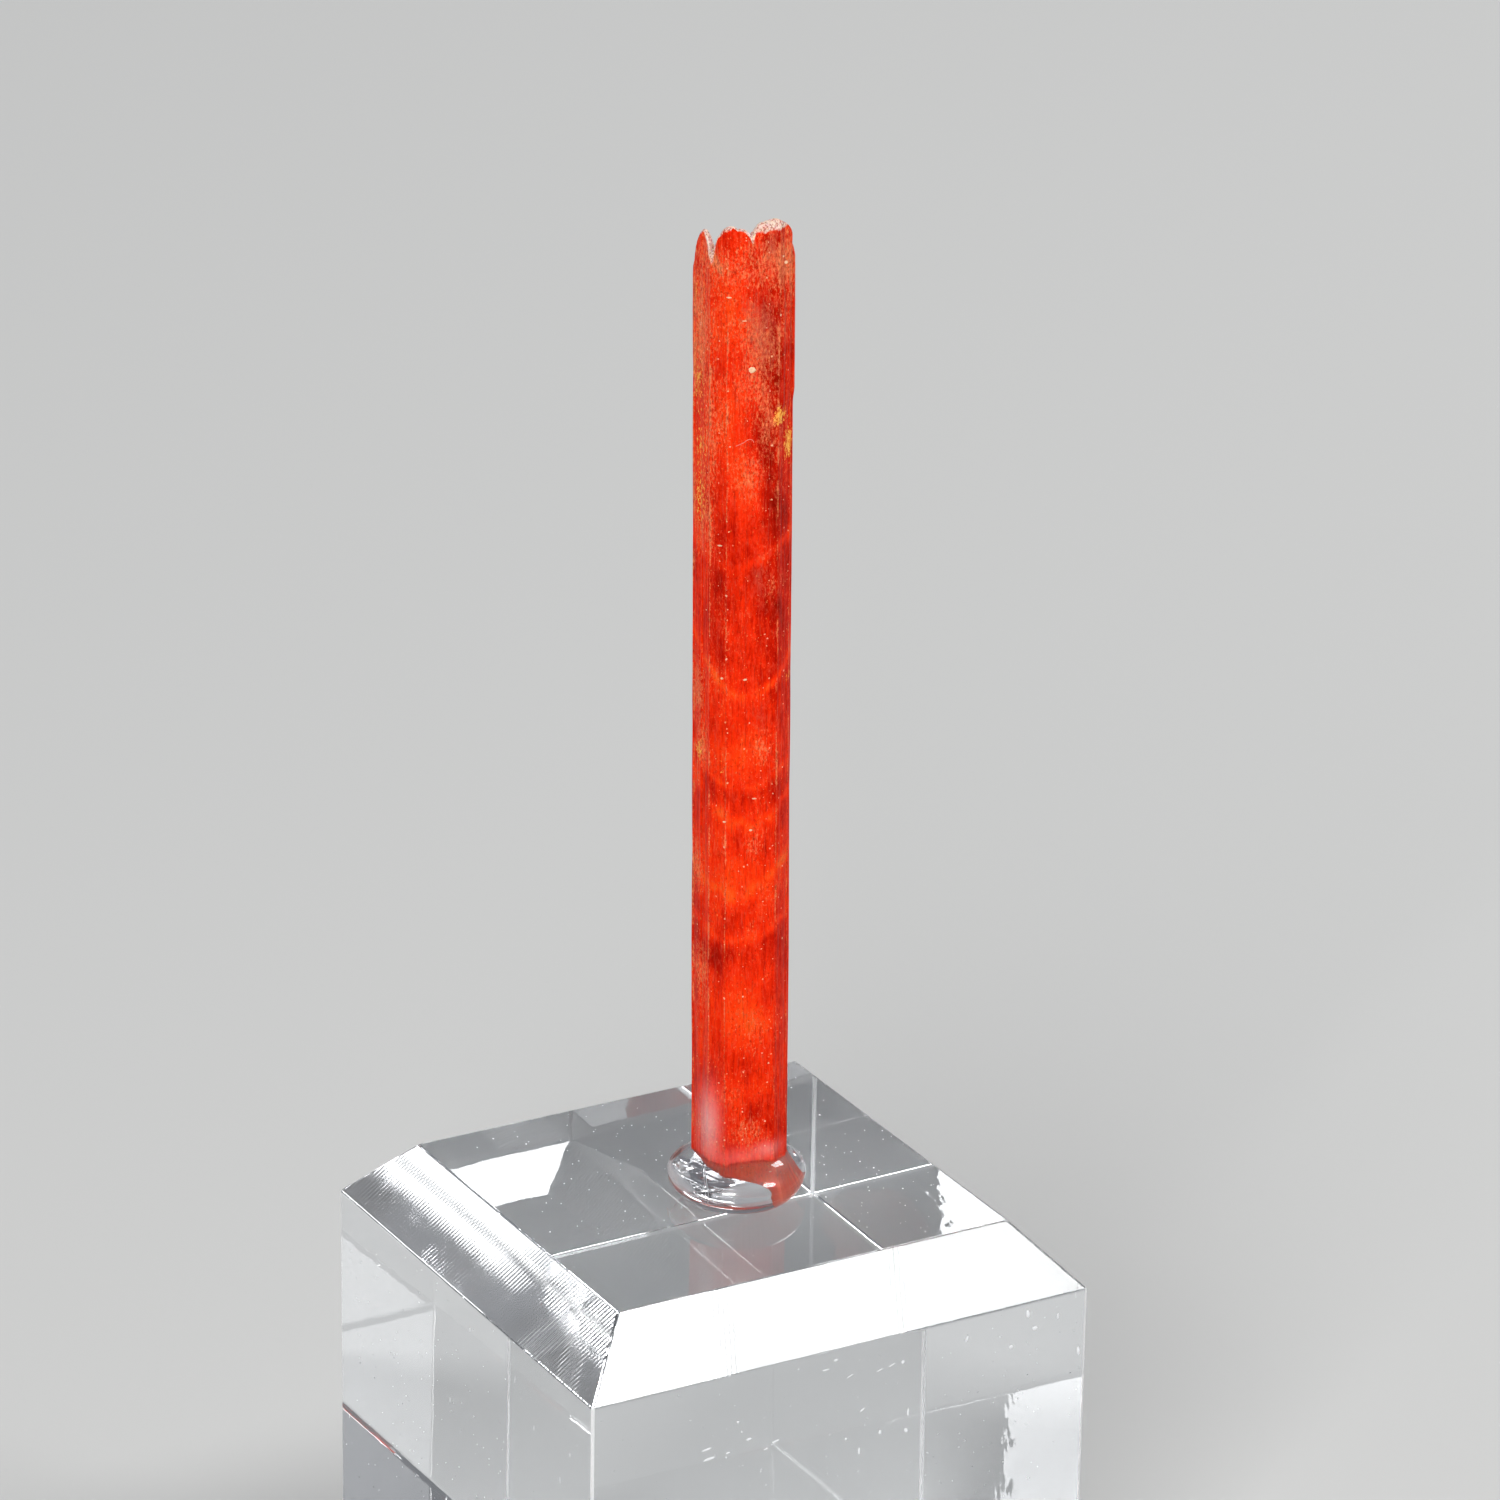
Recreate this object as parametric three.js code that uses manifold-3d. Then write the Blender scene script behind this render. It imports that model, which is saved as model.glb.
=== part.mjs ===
// A crocoite crystal standing in a bead of clear adhesive on a bevelled acrylic block.
// Millimetres, +Z up. The origin is the centre of the block's underside, X runs along the
// block's wider side and +Y points away from its front wall.
import * as THREE from "three";
import { ConvexGeometry } from "three/addons/geometries/ConvexGeometry.js";
import { mergeVertices } from "three/addons/utils/BufferGeometryUtils.js";
import Module from "manifold-3d";

// ---- Driving dimensions: the block ----
const blockWidth = 25.4; // X
const blockDepth = 24.8; // Y
const blockHeight = 24; // a nominal one inch cast sheet
const bevelInset = 2.7; // how far the top bevel comes in from each wall
const bevelDrop = 2.9; // how far the bevel reaches down each wall
const wallEdgeCut = 0.15; // polished flat on each upright edge
const footEdgeCut = 0.2; // polished flat round the underside

// ---- Driving dimensions: the bead of adhesive ----
const beadCentre = { x: 0.66, y: -1.35 };
const beadRadius = 3.15; // at its widest level
const beadWidestLevel = 1; // above the block
const beadBelly = 1.64; // half-height of the drop below that level, where the block cuts it flat
const beadShoulder = 1.33; // half-height of the drop above it
const socketGap = 0.3; // between the crystal's foot and the wall of its socket
const socketFloor = 0.7; // adhesive left under the crystal

// ---- Driving dimensions: the crystal ----
const crystalTop = 46.53; // highest lobe, above the block
const crystalFoot = { x: 0.09, y: 0.27 }; // its axis from the bead's centre, in its own frame
const crystalTurn = -29.72; // degrees, the crystal's own X from the block's X
const crystalLean = -0.62; // degrees, the tip leaning towards the crystal's own -X
const striationPitch = 0.34; // mean spacing of the growth grooves on the prism faces
const striationDepth = 0.055; // deepest groove
const striationShallowest = 0.3; // the shallowest groove, as a share of the deepest
const striationPlace = { from: 0.45, to: 0.75 }; // where a groove lies in its strip, as a share
const prismFront = 2.1; // from the crystal's axis to its foremost edge
const crownSlope = 0.62; // fall of the broken end per millimetre towards the back
const crownShoulder = 1.65; // from the crystal's top down to that slope at the foremost edge

// Half of the prism zone, in the crystal's own frame: the bearing of each face's outward normal in
// degrees from +X, and its distance from the axis. The other half is the same set turned round.
const prismFaces = [
  { bearing: 180, reach: 2.13 },
  { bearing: 208, reach: 1.97 },
  { bearing: 232, reach: 2.07 },
  { bearing: 287, reach: 1.81 },
  { bearing: 328, reach: 2.1 },
];

// Individuals of the crown: rounded tips that grew side by side. x and y are the tip's place in
// the crystal's own frame, drop how far it stays below the crystal's top, and sharpX and sharpY
// how fast it falls away sideways and to the front and back (per millimetre).
const crownLobes = [
  { x: -1.67, y: -0.8, drop: 0.62, sharpX: 4.2, sharpY: 1.1 },
  { x: -0.55, y: -1.8, drop: 0.14, sharpX: 1.8, sharpY: 0.9 },
  { x: 0.02, y: -1.62, drop: 0.2, sharpX: 1.5, sharpY: 1.0 },
  { x: 0.82, y: -1.32, drop: 0.09, sharpX: 2.1, sharpY: 1.7 },
  { x: 1.36, y: -1.08, drop: 0, sharpX: 0.6, sharpY: 1.5 },
  { x: -1.3, y: 0.45, drop: 2.05, sharpX: 1.1, sharpY: 0.5 },
  { x: 0.1, y: 0.35, drop: 1.6, sharpX: 1.4, sharpY: 0.7 },
  { x: 1.35, y: 0.75, drop: 1.95, sharpX: 1.5, sharpY: 0.9 },
  { x: -1.05, y: 1.35, drop: 2.75, sharpX: 1.7, sharpY: 1.2 },
  { x: 0.45, y: 1.75, drop: 3.05, sharpX: 1.2, sharpY: 1.4 },
  { x: 1.85, y: 0.1, drop: 1.25, sharpX: 3.1, sharpY: 1.1 },
];

// Growth layers: thin laths that lie on a prism face and end in small ledges. face counts round
// the whole zone, across is the lath's middle along the face, and from and to are heights above
// the block.
const growthLaths = [
  { face: 0, across: 0, width: 0.5, from: 1, to: 44.6, proud: 0.065 },
  { face: 1, across: -0.3, width: 0.62, from: 4.2, to: 31.5, proud: 0.06 },
  { face: 3, across: -0.62, width: 0.5, from: 22.5, to: 44.2, proud: 0.07 },
  { face: 3, across: 0.35, width: 0.66, from: 30.2, to: 43.1, proud: 0.06 },
  { face: 3, across: 0.85, width: 0.4, from: 5.5, to: 24.6, proud: 0.07 },
  { face: 4, across: 0.1, width: 0.6, from: 37.6, to: 43.9, proud: 0.09 },
  { face: 5, across: 0, width: 0.5, from: 1, to: 39, proud: 0.06 },
  { face: 5, across: 0, width: 0.56, from: 38, to: crystalTop + 0.5, proud: 0.13 },
  { face: 6, across: 0.2, width: 0.7, from: 8.6, to: 27.3, proud: 0.07 },
  { face: 7, across: -0.1, width: 0.44, from: 19.8, to: 41.5, proud: 0.06 },
  { face: 8, across: -0.55, width: 0.72, from: 3.6, to: 35.8, proud: 0.08 },
  { face: 8, across: 0.5, width: 0.55, from: 14.3, to: 42.2, proud: 0.06 },
  { face: 9, across: 0, width: 0.5, from: 26.1, to: 42.9, proud: 0.07 },
];

// Pits and chips in the prism faces: own X and Y of the dimple's middle, its height above the
// block, and its half-sizes across and along the crystal.
const pits = [
  { x: -1.36, y: -1.72, z: 45.2, across: 0.3, along: 0.7 },
  { x: 0.55, y: -1.86, z: 40.3, across: 0.16, along: 0.22 },
  { x: 1.2, y: -1.66, z: 44.4, across: 0.17, along: 0.3 },
  { x: 2.33, y: -0.35, z: 42.5, across: 0.18, along: 0.6 },
  { x: 2.25, y: 0.55, z: 30.4, across: 0.16, along: 0.5 },
  { x: -2.33, y: 0.2, z: 25.7, across: 0.16, along: 0.45 },
  { x: -0.7, y: 2.0, z: 33.4, across: 0.2, along: 0.8 },
  { x: 0.9, y: 2.12, z: 17.2, across: 0.18, along: 0.4 },
];

const wasm = await Module();
wasm.setup();

// A three.js geometry as a solid that can be joined and cut.
function toSolid(geometry) {
  const bare = new THREE.BufferGeometry();
  bare.setAttribute("position", geometry.getAttribute("position"));
  if (geometry.index) bare.setIndex(geometry.index);
  const merged = mergeVertices(bare);
  const vertProperties = Float32Array.from(merged.getAttribute("position").array);
  const triVerts = Uint32Array.from(merged.index.array);
  return new wasm.Manifold(new wasm.Mesh({ numProp: 3, vertProperties, triVerts }));
}

// A solid back as a geometry.
function toGeometry(solid) {
  const { vertProperties, triVerts } = solid.getMesh();
  const geometry = new THREE.BufferGeometry();
  geometry.setAttribute("position", new THREE.BufferAttribute(Float32Array.from(vertProperties), 3));
  geometry.setIndex(Array.from(triVerts));
  geometry.computeVertexNormals();
  return geometry;
}

const joinAll = (solids) => solids.reduce((whole, next) => whole.add(next));

// Repeatable scatter between 0 and 1: the fraction of a large sine.
const scatter = (seed) => {
  const wave = Math.sin(seed * 12.9898 + 4.1414) * 43758.5453;
  return wave - Math.floor(wave);
};

// ---- The block: three rectangles with cut corners, one above the other ----
function cutRectangle(width, depth, cut, z) {
  const halfX = width / 2;
  const halfY = depth / 2;
  const quarter = [
    [halfX, halfY - cut],
    [halfX - cut, halfY],
  ];
  const signs = [
    [1, 1],
    [-1, 1],
    [-1, -1],
    [1, -1],
  ];
  return signs.flatMap(([sx, sy]) => quarter.map(([x, y]) => new THREE.Vector3(sx * x, sy * y, z)));
}

function blockGeometry() {
  const topWidth = blockWidth - 2 * bevelInset;
  const topDepth = blockDepth - 2 * bevelInset;
  const footWidth = blockWidth - 2 * footEdgeCut;
  const footDepth = blockDepth - 2 * footEdgeCut;
  return new ConvexGeometry([
    ...cutRectangle(footWidth, footDepth, wallEdgeCut, 0),
    ...cutRectangle(blockWidth, blockDepth, wallEdgeCut, footEdgeCut),
    ...cutRectangle(blockWidth, blockDepth, wallEdgeCut, blockHeight - bevelDrop),
    ...cutRectangle(topWidth, topDepth, wallEdgeCut, blockHeight),
  ]);
}

// ---- The prism zone: corners where neighbouring faces meet ----
const zoneFaces = [
  ...prismFaces,
  ...prismFaces.map(({ bearing, reach }) => ({ bearing: bearing + 180, reach })),
];

function faceNormal({ bearing }) {
  const angle = THREE.MathUtils.degToRad(bearing);
  return new THREE.Vector2(Math.cos(angle), Math.sin(angle));
}

// The corner between a face and the next one, with every face moved out by grow.
function corner(index, grow) {
  const face = zoneFaces[index % zoneFaces.length];
  const next = zoneFaces[(index + 1) % zoneFaces.length];
  const a = faceNormal(face);
  const b = faceNormal(next);
  const span = a.x * b.y - a.y * b.x;
  const reachA = face.reach + grow;
  const reachB = next.reach + grow;
  return new THREE.Vector2((reachA * b.y - reachB * a.y) / span, (reachB * a.x - reachA * b.x) / span);
}

function plainSection(grow) {
  return new THREE.Shape(zoneFaces.map((_, index) => corner(index, grow)));
}

// The section with growth grooves: each side is stepped off in strips, and each strip has a sharp
// groove at a scattered place and depth.
function striatedSection() {
  const { lerp } = THREE.MathUtils;
  const seedsPerFace = 17; // more than the strips on a face
  const points = [];
  zoneFaces.forEach((face, index) => {
    const start = corner(index + zoneFaces.length - 1, 0);
    const end = corner(index, 0);
    const inward = faceNormal(face).negate();
    const strips = Math.max(1, Math.round(start.distanceTo(end) / striationPitch));
    for (let strip = 0; strip < strips; strip += 1) {
      const seed = index * seedsPerFace + strip;
      const place = lerp(striationPlace.from, striationPlace.to, scatter(seed));
      const depth = striationDepth * lerp(striationShallowest, 1, scatter(seed + 0.5));
      const ridge = start.clone().lerp(end, strip / strips);
      const groove = start.clone().lerp(end, (strip + place) / strips);
      points.push(ridge, groove.addScaledVector(inward, depth));
    }
  });
  return new THREE.Shape(points);
}

function uprightSolid(shape, from, to) {
  const geometry = new THREE.ExtrudeGeometry(shape, { depth: to - from, bevelEnabled: false });
  geometry.translate(0, 0, from);
  return toSolid(geometry);
}

// One rounded tip of the crown: a paraboloid standing deep in the prism.
function crownLobe({ x, y, drop, sharpX, sharpY }) {
  const depth = 3.2;
  const rings = 9;
  const sides = 20;
  const profile = [new THREE.Vector2(0, -depth)];
  for (let ring = rings; ring > 0; ring -= 1) {
    const radius = ring / rings;
    profile.push(new THREE.Vector2(radius, -depth * radius * radius));
  }
  profile.push(new THREE.Vector2(0, 0));
  const geometry = new THREE.LatheGeometry(profile, sides);
  geometry.rotateX(Math.PI / 2);
  geometry.scale(Math.sqrt(depth / sharpX), Math.sqrt(depth / sharpY), 1);
  geometry.translate(x, y, crystalTop - drop);
  return toSolid(geometry);
}

// The stump under the lobes: a prism wider than the crystal whose top falls towards the back.
function crownStump(from) {
  const half = 4;
  const frontTop = crystalTop - crownShoulder + crownSlope * (half - prismFront);
  const side = new THREE.Shape([
    new THREE.Vector2(-half, from),
    new THREE.Vector2(half, from),
    new THREE.Vector2(half, frontTop - crownSlope * 2 * half),
    new THREE.Vector2(-half, frontTop),
  ]);
  const geometry = new THREE.ExtrudeGeometry(side, { depth: 2 * half, bevelEnabled: false });
  geometry.translate(0, 0, -half);
  geometry.applyMatrix4(
    new THREE.Matrix4().makeBasis(
      new THREE.Vector3(0, 1, 0),
      new THREE.Vector3(0, 0, 1),
      new THREE.Vector3(1, 0, 0),
    ),
  );
  return toSolid(geometry);
}

// A growth lath: a thin bar sunk in its face, with both ends slanting back to the face.
function growthLath({ face, across, width, from, to, proud }) {
  const zoneFace = zoneFaces[face];
  const normal = faceNormal(zoneFace);
  const along = new THREE.Vector2(-normal.y, normal.x);
  const root = 0.25;
  const slant = 0.5;
  const shortSlant = 0.4; // the upper end's slant on its other side, as a share
  const bevel = 0.08;
  const bar = [];
  for (const [out, trimSide, trimEnd] of [
    [-root, 0, 0],
    [proud, bevel, slant],
  ]) {
    for (const side of [-1, 1]) {
      const offset = across + side * (width / 2 - trimSide);
      const place = normal.clone().multiplyScalar(zoneFace.reach + out).addScaledVector(along, offset);
      bar.push(new THREE.Vector3(place.x, place.y, from + trimEnd));
      const upperTrim = side > 0 ? trimEnd : trimEnd * shortSlant;
      bar.push(new THREE.Vector3(place.x, place.y, to - upperTrim));
    }
  }
  return toSolid(new ConvexGeometry(bar));
}

function pit({ x, y, z, across, along }) {
  const geometry = new THREE.IcosahedronGeometry(1, 1);
  geometry.scale(across, across, along);
  geometry.translate(x, y, z);
  return toSolid(geometry);
}

// The crystal in its own frame, z measured from the block's top. It is leaned first and its foot is
// then cut level, so that it stands flat on the floor of its socket.
function crystalGeometry() {
  const buried = -1;
  const crown = joinAll([crownStump(buried), ...crownLobes.map(crownLobe)]);
  const prism = uprightSolid(striatedSection(), buried, crystalTop);
  const laths = joinAll(growthLaths.map(growthLath));
  const dressed = prism.add(laths).intersect(crown).subtract(joinAll(pits.map(pit)));
  const leaning = toGeometry(dressed);
  leaning.rotateY(THREE.MathUtils.degToRad(crystalLean));
  const roomy = 2 * crystalTop;
  const aboveFoot = new THREE.BoxGeometry(roomy, roomy, roomy);
  aboveFoot.translate(0, 0, socketFloor + roomy / 2);
  return toGeometry(toSolid(leaning).intersect(toSolid(aboveFoot)));
}

// ---- The bead: a turned drop, flat below, with a socket of the prism's section ----
function beadGeometry() {
  const steps = 8;
  const sides = 48;
  const footAngle = Math.acos(beadWidestLevel / beadBelly);
  const rimAngle = THREE.MathUtils.degToRad(60);
  const profile = [new THREE.Vector2(0, 0)];
  for (let step = 0; step <= steps; step += 1) {
    const angle = THREE.MathUtils.lerp(footAngle, Math.PI / 2, step / steps);
    const level = Math.max(0, beadWidestLevel - beadBelly * Math.cos(angle));
    profile.push(new THREE.Vector2(beadRadius * Math.sin(angle), level));
  }
  for (let step = 1; step <= steps; step += 1) {
    const angle = (rimAngle * step) / steps;
    const level = beadWidestLevel + beadShoulder * Math.sin(angle);
    profile.push(new THREE.Vector2(beadRadius * Math.cos(angle), level));
  }
  profile.push(new THREE.Vector2(0, beadWidestLevel + beadShoulder * Math.sin(rimAngle)));
  const drop = new THREE.LatheGeometry(profile, sides);
  drop.rotateX(Math.PI / 2);
  const socket = uprightSolid(plainSection(socketGap), socketFloor, beadWidestLevel + 2 * beadShoulder);
  return toGeometry(toSolid(drop).subtract(socket.translate([crystalFoot.x, crystalFoot.y, 0])));
}

// ---- The scene graph ----
const mount = new THREE.Group();

const block = new THREE.Mesh(
  blockGeometry(),
  new THREE.MeshStandardMaterial({
    color: 0xf2f5f7,
    roughness: 0.03,
    metalness: 0,
    transparent: true,
    opacity: 0.35,
  }),
);
block.name = "acrylic_block";
mount.add(block);

// Everything on the block turns with the crystal about the bead's centre.
const specimen = new THREE.Group();
specimen.position.set(beadCentre.x, beadCentre.y, blockHeight);
specimen.rotation.z = THREE.MathUtils.degToRad(crystalTurn);
mount.add(specimen);

const bead = new THREE.Mesh(
  beadGeometry(),
  new THREE.MeshStandardMaterial({
    color: 0xeef0f4,
    roughness: 0.05,
    metalness: 0,
    transparent: true,
    opacity: 0.4,
  }),
);
bead.name = "adhesive_bead";
specimen.add(bead);

const crystal = new THREE.Mesh(
  crystalGeometry(),
  new THREE.MeshStandardMaterial({ color: 0xe3200a, roughness: 0.3, metalness: 0 }),
);
crystal.name = "crocoite_crystal";
crystal.position.set(crystalFoot.x, crystalFoot.y, 0);
specimen.add(crystal);

export default mount;
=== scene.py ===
import math

import bpy
import numpy as np
from mathutils import Matrix, Vector


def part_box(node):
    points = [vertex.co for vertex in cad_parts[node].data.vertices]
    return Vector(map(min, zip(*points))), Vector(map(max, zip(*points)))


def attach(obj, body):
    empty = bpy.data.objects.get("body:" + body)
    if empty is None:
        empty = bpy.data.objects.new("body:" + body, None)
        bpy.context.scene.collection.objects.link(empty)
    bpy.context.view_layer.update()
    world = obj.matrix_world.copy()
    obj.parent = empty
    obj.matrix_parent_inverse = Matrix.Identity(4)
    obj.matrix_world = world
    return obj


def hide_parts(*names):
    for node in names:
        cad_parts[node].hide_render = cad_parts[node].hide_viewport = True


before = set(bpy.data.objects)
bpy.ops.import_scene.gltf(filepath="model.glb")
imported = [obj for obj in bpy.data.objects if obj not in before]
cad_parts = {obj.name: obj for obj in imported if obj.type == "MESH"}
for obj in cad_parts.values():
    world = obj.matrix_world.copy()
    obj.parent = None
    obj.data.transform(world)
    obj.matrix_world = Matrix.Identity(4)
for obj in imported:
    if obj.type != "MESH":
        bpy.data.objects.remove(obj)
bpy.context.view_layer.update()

scene = bpy.context.scene
mm = 0.001  # lengths below are in millimetres unless a line says otherwise
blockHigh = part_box("acrylic_block")[1]
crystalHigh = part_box("crocoite_crystal")[1]
beadLow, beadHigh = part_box("adhesive_bead")
beadCentre = (beadLow + beadHigh) / 2


def toLinear(hexColour):
    # sRGB hex to linear light: a short straight piece near black, a 2.4 power above it
    channels = [int(hexColour[k:k + 2], 16) / 255 for k in (1, 3, 5)]
    return tuple(c / 12.92 if c <= 0.04045 else ((c + 0.055) / 1.055) ** 2.4 for c in channels) + (1,)


def addNode(tree, kind, inputs=None, **settings):
    # inputs holds plain values, sockets, or nodes, which give their first output
    node = tree.nodes.new("ShaderNode" + kind)
    for name, value in settings.items():
        setattr(node, name, value)
    for name, value in (inputs or {}).items():
        if isinstance(value, bpy.types.Node):
            value = next(socket for socket in value.outputs if socket.enabled)
        if isinstance(value, bpy.types.NodeSocket):
            tree.links.new(value, node.inputs[name])
        else:
            node.inputs[name].default_value = value
    return node


def newMaterial(name):
    # a material with an empty node tree
    material = bpy.data.materials.new(name)
    material.use_nodes = True
    material.node_tree.nodes.clear()
    return material, material.node_tree


def newPiece(name, points, faces, materials, smooth, slots):
    # points in metres, faces as rings of point numbers, slots the material number of each face
    mesh = bpy.data.meshes.new(name)
    mesh.from_pydata(points.tolist(), [], faces)
    for material in materials:
        mesh.materials.append(material)
    mesh.polygons.foreach_set("use_smooth", np.asarray(smooth, bool))
    mesh.polygons.foreach_set("material_index", np.asarray(slots, np.int32))
    mesh.update()
    piece = bpy.data.objects.new(name, mesh)
    scene.collection.objects.link(piece)
    return piece


def standFor(piece, node):
    # the piece rides on the one body and takes the place of a solid node
    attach(piece, "root")
    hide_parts(node)


def hashNoise(a, b, seed):
    # scatter between 0 and 1 for whole numbers a, b: the fraction of a large sine
    strideA, strideB, strideSeed, height = 127.1, 311.7, 74.7, 43758.5453
    wave = np.sin(a * strideA + b * strideB + seed * strideSeed) * height
    return wave - np.floor(wave)


def valueNoise(a, b, seed, wrap=0):
    # scatter on whole numbers, blended smoothly across each cell; wrap closes it along a
    a0, b0 = np.floor(a), np.floor(b)
    fa, fb = a - a0, b - b0
    fa, fb = fa * fa * (3 - 2 * fa), fb * fb * (3 - 2 * fb)
    a1 = a0 + 1
    if wrap:
        a0, a1 = a0 % wrap, a1 % wrap
    low = hashNoise(a0, b0, seed) * (1 - fa) + hashNoise(a1, b0, seed) * fa
    high = hashNoise(a0, b0 + 1, seed) * (1 - fa) + hashNoise(a1, b0 + 1, seed) * fa
    return low * (1 - fb) + high * fb


def smoothStep(low, high, x):
    # 0 below low, 1 above high, an S curve between
    t = np.clip((x - low) / (high - low), 0, 1)
    return t * t * (3 - 2 * t)


def softMarks(marks, x, z):
    # the sum of soft oval patches, each falling as the square of the distance from its middle
    marks = np.array(marks)[:, :, None]
    spread = ((x - marks[:, 0]) / marks[:, 2]) ** 2 + ((z - marks[:, 1]) / marks[:, 3]) ** 2
    return (marks[:, 4] * np.exp(-spread)).sum(0)


def ringFaces(rows, around):
    # quads between neighbouring closed rings of points, numbered row by row, facing outwards
    row, step = np.meshgrid(np.arange(rows - 1), np.arange(around), indexing="ij")
    here = row * around + step
    beside = row * around + (step + 1) % around
    return np.stack([here, beside, beside + around, here + around], -1).reshape(-1, 4).tolist()


def closedFaces(rows, around):
    # the rings' quads, then triangles from the last ring to one middle point and from the first to another
    count = rows * around
    here, beside = np.arange(around), (np.arange(around) + 1) % around
    last = np.stack([here + count - around, beside + count - around, np.full(around, count)], -1)
    first = np.stack([beside, here, np.full(around, count + 1)], -1)
    return ringFaces(rows, around) + last.tolist() + first.tolist()


def lumps(middles, outward, along, halfLong, halfWide, halfThick, seed):
    # each lump is a small globe: latitude rows round the outward axis, stretched, its surface uneven;
    # the thickness is the same for all, and so may the outward axis be
    outward = np.broadcast_to(outward, middles.shape)
    rows, around, lastRow = 3, 7, 0.9
    smallest, spread = 0.82, 0.32
    across = np.cross(outward, along)
    latitude = np.repeat(np.linspace(-lastRow, lastRow, rows), around)
    longitude = np.tile(np.arange(around) / around * 2 * math.pi, rows)
    longWay = np.append(np.cos(latitude) * np.cos(longitude), [0, 0])
    wideWay = np.append(np.cos(latitude) * np.sin(longitude), [0, 0])
    outWay = np.append(np.sin(latitude), [1, -1])
    chance = hashNoise(np.arange(len(longWay)), np.arange(len(middles))[:, None], seed)
    uneven = smallest + spread * chance
    stretched = [
        (halfLong[:, None] * longWay * uneven)[:, :, None] * along[:, None],
        (halfWide[:, None] * wideWay * uneven)[:, :, None] * across[:, None],
        (halfThick * outWay * uneven)[:, :, None] * outward[:, None],
    ]
    points = (middles[:, None] + sum(stretched)).reshape(-1, 3)
    faces = closedFaces(rows, around)
    quads, ends = np.array(faces[:-2 * around]), np.array(faces[-2 * around:])
    step = (len(longWay) * np.arange(len(middles)))[:, None, None]
    return points, (quads + step).reshape(-1, 4).tolist() + (ends + step).reshape(-1, 3).tolist()


def joinParts(parts):
    # several (points, faces) in one list, later faces numbered on; gives the part of each face too
    points, faces, owner = [], [], []
    for number, (partPoints, partFaces) in enumerate(parts):
        start = sum(len(p) for p in points)
        points.append(partPoints)
        faces += [[start + k for k in face] for face in partFaces]
        owner += [number] * len(partFaces)
    return np.concatenate(points), faces, np.array(owner)


camera = dict(
    azimuth=-29.7221, elevation=22.069, roll=-0.9724,  # degrees
    standOff=319.178, aside=1.496, above=19.7206,  # from the middle of the block's top face
    lens=167.9, sensor=36, near=10, far=20000,
)


def makeCamera():
    # the camera stands off along its azimuth and elevation, then moves aside and up without turning
    azimuth, elevation, roll = (math.radians(camera[k]) for k in ("azimuth", "elevation", "roll"))
    back = Vector((
        math.sin(azimuth) * math.cos(elevation),
        -math.cos(azimuth) * math.cos(elevation),
        math.sin(elevation),
    ))
    right = Vector((math.cos(azimuth), math.sin(azimuth), 0))
    up = back.cross(right)
    across = math.cos(roll) * right - math.sin(roll) * up
    upright = math.sin(roll) * right + math.cos(roll) * up
    offset = camera["standOff"] * back + camera["aside"] * right + camera["above"] * up
    place = Vector((0, 0, blockHigh.z)) + mm * offset
    data = bpy.data.cameras.new("camera")
    data.lens = camera["lens"]
    data.sensor_width = camera["sensor"]
    data.clip_start = camera["near"] * mm
    data.clip_end = camera["far"] * mm
    eye = bpy.data.objects.new("camera", data)
    eye.matrix_world = Matrix.Translation(place) @ Matrix((across, upright, back)).transposed().to_4x4()
    scene.collection.objects.link(eye)
    scene.camera = eye


makeCamera()
print("camera placed")

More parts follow.
